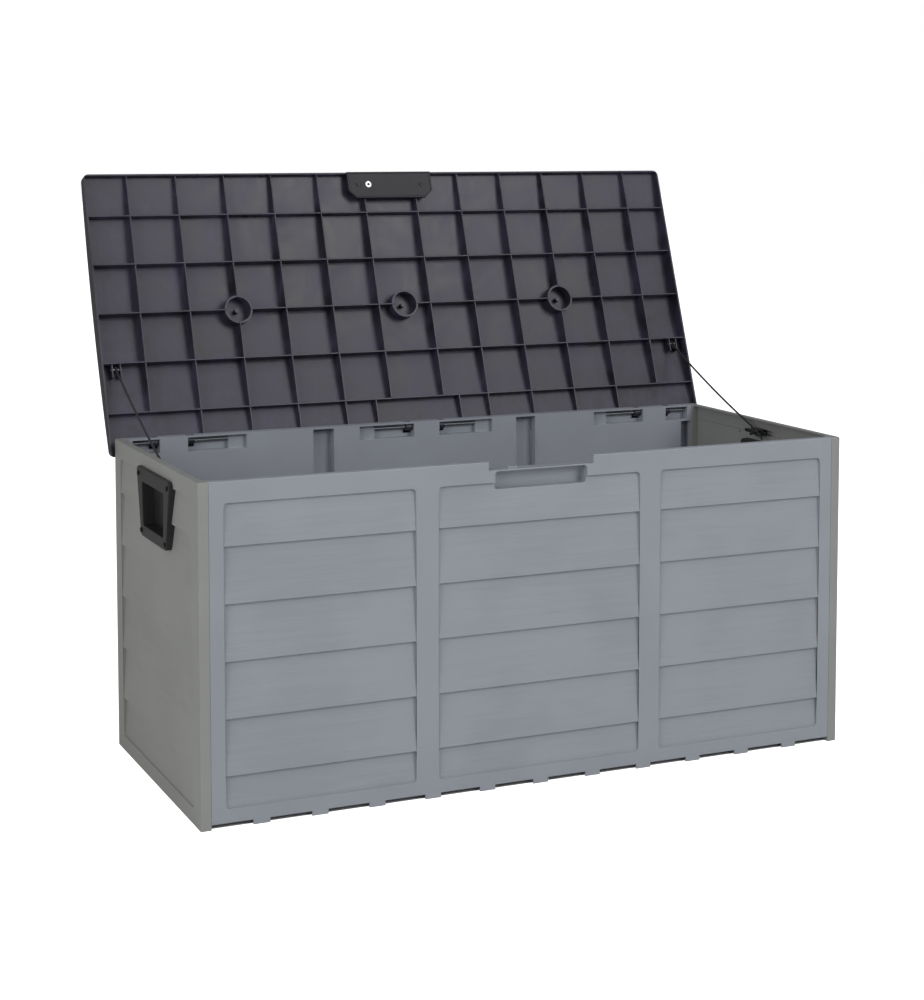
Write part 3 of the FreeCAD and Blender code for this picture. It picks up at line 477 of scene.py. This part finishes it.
class DECKBOX_OT_walls(bpy.types.Operator):
    """Four wall panels with rounded edges and embossed boards"""
    bl_idname = "deckbox.walls"
    bl_label = "Walls"

    def execute(self, context):
        s = sizes()
        plain = polypropylene("Polypropylene, blow-moulded, satin", colours().wall)
        grained = grained_polypropylene("Polypropylene, embossed wood grain", colours().wall, "X")
        # The end walls take darker copies of the two wall materials: painted shade on the ends.
        plain_end_painted_shade = polypropylene("Polypropylene, blow-moulded, satin, ends, painted shade", colours().end)
        grained_end_painted_shade = grained_polypropylene("Polypropylene, embossed wood grain, ends, painted shade", colours().end, "Y")
        low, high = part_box("left_end_panel")
        top = high.z
        front = low.y
        side = abs(low.x)
        largest = s.rim_radius

        def radius_at(middle, direction, outward):
            upright = abs(direction.z) > 0.9
            on_face = near(abs(middle.y), abs(front)) or near(abs(middle.x), side)
            if outward and near(middle.z, top) and on_face:
                return s.rim_radius
            if outward and upright and near(abs(middle.y), abs(front)) and near(abs(middle.x), side):
                return s.rim_radius
            if outward and on_face:
                return s.frame_radius
            return s.small_radius

        def board(axis, sign):
            def pick(centre, normal):
                tilt = abs(normal.z)
                return normal[axis] * sign > 0.99 and 0.045 < tilt < 0.085
            return pick

        for node, axis, sign, slot, pair in (
            ("front_panel", 1, -1, "wall_plastic", (plain, grained)),
            ("back_panel", 1, 1, "wall_plastic", (plain, grained)),
            ("left_end_panel", 0, -1, "end_plastic", (plain_end_painted_shade, grained_end_painted_shade)),
            ("right_end_panel", 0, 1, "end_plastic", (plain_end_painted_shade, grained_end_painted_shade)),
        ):
            piece = cad_copy(node, node.replace("_panel", "_wall"))
            round_edges(piece, radius_at, largest)
            dress(piece, "box", pair, board(axis, sign))
            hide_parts(node)
        return {"FINISHED"}


class DECKBOX_OT_floor(bpy.types.Operator):
    """Ribbed floor of the box"""
    bl_idname = "deckbox.floor"
    bl_label = "Box floor"

    def execute(self, context):
        small = sizes().small_radius
        piece = cad_copy("floor_panel", "ribbed_floor")
        round_edges(piece, lambda middle, direction, outward: small, small)
        moulded = polypropylene("Polypropylene, injection-moulded floor", colours().floor)
        dress(piece, "box", [moulded])
        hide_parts("floor_panel")
        return {"FINISHED"}


class DECKBOX_OT_lid(bpy.types.Operator):
    """Lid with its ribs, ring bosses and hinge arms"""
    bl_idname = "deckbox.lid"
    bl_label = "Lid"

    def execute(self, context):
        s = sizes()
        edge_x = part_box("lid_panel")[1].x
        skirt = min((SHUT @ v.co).y for v in frame["nodes"]["lid_panel"].data.vertices)

        def radius_at(middle, direction, outward):
            shut = SHUT @ middle
            outer = near(abs(shut.x), edge_x) or near(shut.y, skirt)
            if outward and outer and shut.z > CROWN_LEVEL:
                return s.lid_radius
            return s.rib_radius

        up = OPEN.to_3x3() @ Vector((0, 0, 1))

        def outside(centre, normal):
            shut = SHUT @ centre
            on_skirt = near(abs(shut.x), edge_x) or near(shut.y, skirt)
            return normal.dot(up) > 0.7 and shut.z > RIM_LEVEL or on_skirt

        piece = cad_copy("lid_panel", "lid_moulding", convex=True)
        round_edges(piece, radius_at, s.lid_radius)
        inner = flow_marked_polypropylene("Polypropylene, injection-moulded, flow marks",
                                          colours().lid_dark, colours().lid_light)
        outer = leather_grained_polypropylene("Polypropylene, leather-grained", colours().lid_outer, 0.5)
        dress(piece, "lid", [inner, outer], outside)
        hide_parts("lid_panel")
        return {"FINISHED"}


class DECKBOX_OT_latch(bpy.types.Operator):
    """Latch plate under the lid's front edge"""
    bl_idname = "deckbox.latch"
    bl_label = "Latch plate"

    def execute(self, context):
        small = sizes().small_radius
        piece = cad_copy("latch_plate", "latch_tray")
        round_edges(piece, lambda middle, direction, outward: 2 * small, 2 * small)
        dress(piece, "lid",
              [leather_grained_polypropylene("ABS, fine-grained, latch", colours().latch, 0.5)])
        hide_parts("latch_plate")
        return {"FINISHED"}


class DECKBOX_OT_handles(bpy.types.Operator):
    """Two recessed carrying handles"""
    bl_idname = "deckbox.handles"
    bl_label = "Handles"

    def execute(self, context):
        s = sizes()
        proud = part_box("right_handle")[1].x
        material = leather_grained_polypropylene("ABS, fine-grained, handles", colours().handle, 0.45)

        def radius_at(middle, direction, outward):
            if outward and near(abs(middle.x), proud):
                return s.handle_radius
            return s.small_radius

        for side in ("left", "right"):
            piece = cad_copy(side + "_handle", side + "_grip")
            round_edges(piece, radius_at, s.handle_radius)
            dress(piece, "box", [material])
            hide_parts(side + "_handle")
        return {"FINISHED"}


class DECKBOX_OT_metal(bpy.types.Operator):
    """Hinge pins, cord pins, screws and the latch bush"""
    bl_idname = "deckbox.metal"
    bl_label = "Pins and screws"

    def execute(self, context):
        rod = drawn_steel("Steel, drawn and zinc-plated", colours().pin, 0.5)
        black = drawn_steel("Steel, blackened", colours().screw, 0.34)
        bright = drawn_steel("Steel, nickel-plated", colours().bush, 0.3)
        pins = ("left_hinge_pin", "centre_hinge_pin", "right_hinge_pin")
        parts = [(node, "box", "pin_steel", rod) for node in pins]
        parts += [(side + "_cord_pin", "lid", "pin_steel", rod) for side in ("left", "right")]
        parts += [(side + "_handle_screws", "box", "screw_steel", black) for side in ("left", "right")]
        parts.append(("latch_screws", "lid", "screw_steel", black))
        parts.append(("latch_bush", "lid", "pin_steel", bright))
        for node, body, slot, material in parts:
            name = node.replace("_pin", "_rod").replace("_screws", "_fasteners").replace("_bush", "_eyelet")
            piece = cad_copy(node, name)
            round_edges(piece, lambda middle, direction, outward: 0.25, 0.25, least_angle=50)
            dress(piece, body, [material])
            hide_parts(node)
        return {"FINISHED"}


class DECKBOX_OT_cleats(bpy.types.Operator):
    """Horn cleats inside the end walls"""
    bl_idname = "deckbox.cleats"
    bl_label = "Cord cleats"

    def execute(self, context):
        material = leather_grained_polypropylene("Nylon, moulded, black", colours().cleat, 0.4)
        for side in ("left", "right"):
            piece = cad_copy(side + "_cord_cleat", side + "_horn_cleat")
            round_edges(piece, lambda middle, direction, outward: 1.2, 1.2, segments=3)
            dress(piece, "box", [material])
            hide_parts(side + "_cord_cleat")
        return {"FINISHED"}


def tube(name, points, radius, cyclic=False, order=3):
    """A round tube along a smooth NURBS line through space, as a mesh, and the line's own points."""
    curve = bpy.data.curves.new(name, "CURVE")
    curve.dimensions = "3D"
    curve.resolution_u = 16
    spline = curve.splines.new("NURBS")
    spline.points.add(len(points) - 1)
    for point, place in zip(spline.points, points):
        point.co = (*place, 1.0)
    spline.use_cyclic_u = cyclic
    spline.order_u = order
    spline.use_endpoint_u = not cyclic
    line = bpy.data.objects.new(name, curve)
    bpy.context.scene.collection.objects.link(line)
    bpy.context.view_layer.update()
    bare = bpy.data.meshes.new_from_object(line)
    path = [v.co.copy() for v in bare.vertices]
    bpy.data.meshes.remove(bare)
    curve.bevel_depth = radius
    curve.bevel_resolution = 4
    curve.use_fill_caps = not cyclic
    select_only(line)
    bpy.ops.object.convert(target="MESH")
    piece = bpy.context.view_layer.objects.active
    bpy.ops.object.mode_set(mode="EDIT")
    bpy.ops.mesh.select_all(action="SELECT")
    bpy.ops.mesh.remove_doubles(threshold=MERGE)
    bpy.ops.mesh.normals_make_consistent(inside=False)
    bpy.ops.object.mode_set(mode="OBJECT")
    bpy.ops.object.shade_smooth_by_angle(angle=math.radians(50))
    return piece, path


def cleat_turns(side, sign):
    """Points of a cord wound twice in a figure of eight round the horns of a cleat, then let hang."""
    low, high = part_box(side + "_cord_cleat")
    middle = Vector((low.x if sign > 0 else high.x, (low.y + high.y) / 2, (low.z + high.z) / 2))
    middle.x += sign * CLEAT_BAR / 2
    steps = [(1.0, 1.0, 4.6)]
    for turn in range(4):
        horn = -1 if turn % 2 else 1
        reach = 11.0 + 2.1 * turn
        proud = 4.6 + 1.1 * turn
        steps += [
            (3.4, horn * reach * 0.6, 4.2),
            (-1.0, horn * reach, 5.4),
            (-4.8, horn * (reach + 1.0), 0.0),
            (-1.0, horn * reach, -5.4),
            (3.4, horn * reach * 0.6, -4.2),
            (proud, 0.0, 0.0),
        ]
    steps += [(5.5, -7.0, 3.0), (6.5, -16.0, 2.0), (7.0, -24.0, -3.0), (6.0, -30.0, -9.0)]
    return [middle + Vector((-sign * inward, along, up)) * MM for inward, along, up in steps]


def knot(centre, radius):
    """Points of a small overhand knot, pulled tight."""
    points = []
    count = 18
    for k in range(count):
        t = 2 * math.pi * k / count
        points.append(centre + Vector((
            math.cos(3 * t) * 0.9,
            math.cos(t) - 2 * math.cos(2 * t),
            math.sin(t) + 2 * math.sin(2 * t),
        )) * radius * 0.85)
    return points


def pin_eye(pin, pin_width, radius):
    """Points of the loop that holds a cord to its pin, round the pin's own axis."""
    reach = pin_width / 2 + radius * 1.02
    return [pin + Vector((0, math.cos(k * math.pi / 4), math.sin(k * math.pi / 4))) * reach for k in range(8)]


class DECKBOX_OT_cords(bpy.types.Operator):
    """Stay cords that hold the lid open, with their knots"""
    bl_idname = "deckbox.cords"
    bl_label = "Stay cords"

    def execute(self, context):
        s = sizes()
        radius = s.cord_width / 2 * MM
        material = braided_polyester("Polyester cord, braided", colours().cord)
        for side, sign in (("left", -1), ("right", 1)):
            low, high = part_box(side + "_stay_cord")
            pin_low, pin_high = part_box(side + "_cord_pin")
            pin = (pin_low + pin_high) / 2
            inner = low.x if side == "right" else high.x
            start = Vector((inner + sign * radius, low.y + radius * 0.4, low.z + radius * 0.9))
            along = (pin - start).normalized()
            end = pin - along * (pin_high.z - pin_low.z) * 0.58
            route = []
            for share in (0.0, 0.2, 0.4, 0.6, 0.8, 1.0):
                sag = 4 * share * (1 - share) * s.cord_sag * MM
                route.append(start.lerp(end, share) - Vector((0, 0, sag)))
            piece, path = tube(side + "_stay_line", route, radius)
            piece.data.materials.append(material)
            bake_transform(piece)
            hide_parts(side + "_stay_cord")
            turns = tube(side + "_cleat_turns", cleat_turns(side, sign), radius)[0]
            lower = tube(side + "_cleat_knot", knot(start + Vector((-sign * 5.5, 1.0, -5.5)) * MM, radius),
                         radius * 0.9, cyclic=True)[0]
            upper = tube(side + "_lid_knot", knot(end - along * 5.5 * MM, radius), radius * 0.9, cyclic=True)[0]
            eye = tube(side + "_lid_eye", pin_eye(pin, pin_high.z - pin_low.z, radius), radius, cyclic=True)[0]
            for extra, body in ((turns, "box"), (lower, "box"), (upper, "lid"), (eye, "lid")):
                extra.data.materials.append(material)
                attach(extra, body)
        return {"FINISHED"}


class DECKBOX_OT_stage(bpy.types.Operator):
    """Studio floor, lights and camera"""
    bl_idname = "deckbox.stage"
    bl_label = "Stage"

    def execute(self, context):
        bpy.ops.object.select_all(action="DESELECT")
        bpy.ops.mesh.primitive_plane_add(size=60.0, location=(0, 0, 0))
        ground = context.object
        ground.name = "studio_ground"
        ground.data.materials.append(painted_stage("Studio paint, matte", colours().stage))
        context.scene.world = studio_air("Studio air", 0.24, 0.26)
        aim = Vector((0, 0, 0.35))
        for name, place, width, power, tint in (
            ("front light", (1.6, -3.4, 2.5), 1.8, 60.0, (1.0, 1.0, 1.0)),
            ("left light", (-3.3, -1.6, 1.6), 1.8, 42.0, (1.0, 0.99, 0.96)),
            ("top light", (0.0, -1.2, 3.3), 1.4, 11.0, (1.0, 1.0, 1.0)),
        ):
            light = bpy.data.lights.new(name, "AREA")
            light.size = width
            light.energy = power
            light.color = tint
            holder = bpy.data.objects.new(name, light)
            holder.location = place
            holder.rotation_euler = (Vector(place) - aim).to_track_quat("Z", "Y").to_euler()
            context.scene.collection.objects.link(holder)
        camera = bpy.data.cameras.new("camera")
        camera.sensor_width = 36.0
        camera.lens = CAMERA_LENS
        camera.shift_x, camera.shift_y = CAMERA_SHIFT
        camera.clip_end = 100.0
        holder = bpy.data.objects.new("camera", camera)
        azimuth = math.radians(CAMERA_AZIMUTH)
        elevation = math.radians(CAMERA_ELEVATION)
        back = Vector((math.sin(azimuth) * math.cos(elevation), -math.cos(azimuth) * math.cos(elevation),
                       math.sin(elevation)))
        holder.location = CAMERA_PLACE
        holder.rotation_euler = back.to_track_quat("Z", "Y").to_euler()
        context.scene.collection.objects.link(holder)
        context.scene.camera = holder
        context.scene.view_settings.view_transform = "Standard"
        return {"FINISHED"}


OPERATORS = (
    DECKBOX_OT_stage,
    DECKBOX_OT_cords,
    DECKBOX_OT_walls,
    DECKBOX_OT_floor,
    DECKBOX_OT_lid,
    DECKBOX_OT_latch,
    DECKBOX_OT_handles,
    DECKBOX_OT_metal,
    DECKBOX_OT_cleats,
)


class DECKBOX_PT_panel(bpy.types.Panel):
    """Sidebar panel that lists the pieces"""
    bl_idname = "DECKBOX_PT_panel"
    bl_label = "Deck Box"
    bl_space_type = "VIEW_3D"
    bl_region_type = "UI"
    bl_category = "Deck Box"

    def draw(self, context):
        for operator in OPERATORS:
            self.layout.operator(operator.bl_idname)
        for group in (context.scene.deckbox_sizes, context.scene.deckbox_colours):
            column = self.layout.column(align=True)
            for name in group.__annotations__:
                column.prop(group, name)


CLASSES = (DECKBOX_PG_sizes, DECKBOX_PG_colours) + OPERATORS + (DECKBOX_PT_panel,)


def register():
    for item in CLASSES:
        bpy.utils.register_class(item)
    bpy.types.Scene.deckbox_sizes = bpy.props.PointerProperty(type=DECKBOX_PG_sizes)
    bpy.types.Scene.deckbox_colours = bpy.props.PointerProperty(type=DECKBOX_PG_colours)


def unregister():
    del bpy.types.Scene.deckbox_colours
    del bpy.types.Scene.deckbox_sizes
    for item in reversed(CLASSES):
        bpy.utils.unregister_class(item)


def main():
    register()
    for operator in OPERATORS:
        area, name = operator.bl_idname.split(".")
        getattr(getattr(bpy.ops, area), name)()


if __name__ == "__main__":
    main()
